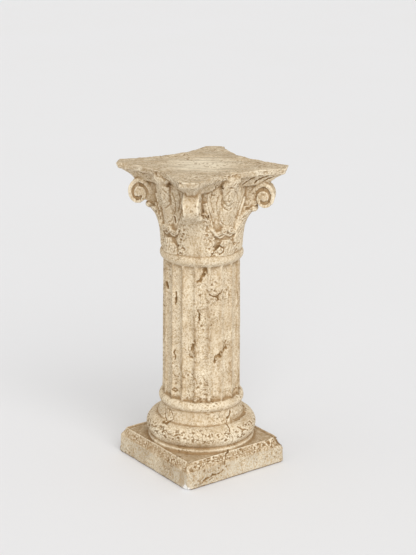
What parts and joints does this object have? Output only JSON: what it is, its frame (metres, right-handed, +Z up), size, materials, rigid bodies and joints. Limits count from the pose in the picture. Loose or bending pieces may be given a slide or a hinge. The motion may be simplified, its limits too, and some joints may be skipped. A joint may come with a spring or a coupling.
{
  "type": "decorative corinthian column pedestal",
  "caption": "Small plaster pedestal shaped as a Corinthian column, with a square plinth, turned base, fluted shaft, leafy capital with corner volutes and a hollow-sided abacus.",
  "frame": {"origin": "middle of the plinth's underside, on the floor", "axes": "+Z up along the column's axis, X and Y along the plinth's sides; the picture looks from +X -Y"},
  "size_m": [0.3008, 0.3008, 0.7],
  "materials": {
    "plaster": "matt antiqued cream plaster"
  },
  "bodies": {
    "root": {"column": "plaster"}
  },
  "joints": []
}
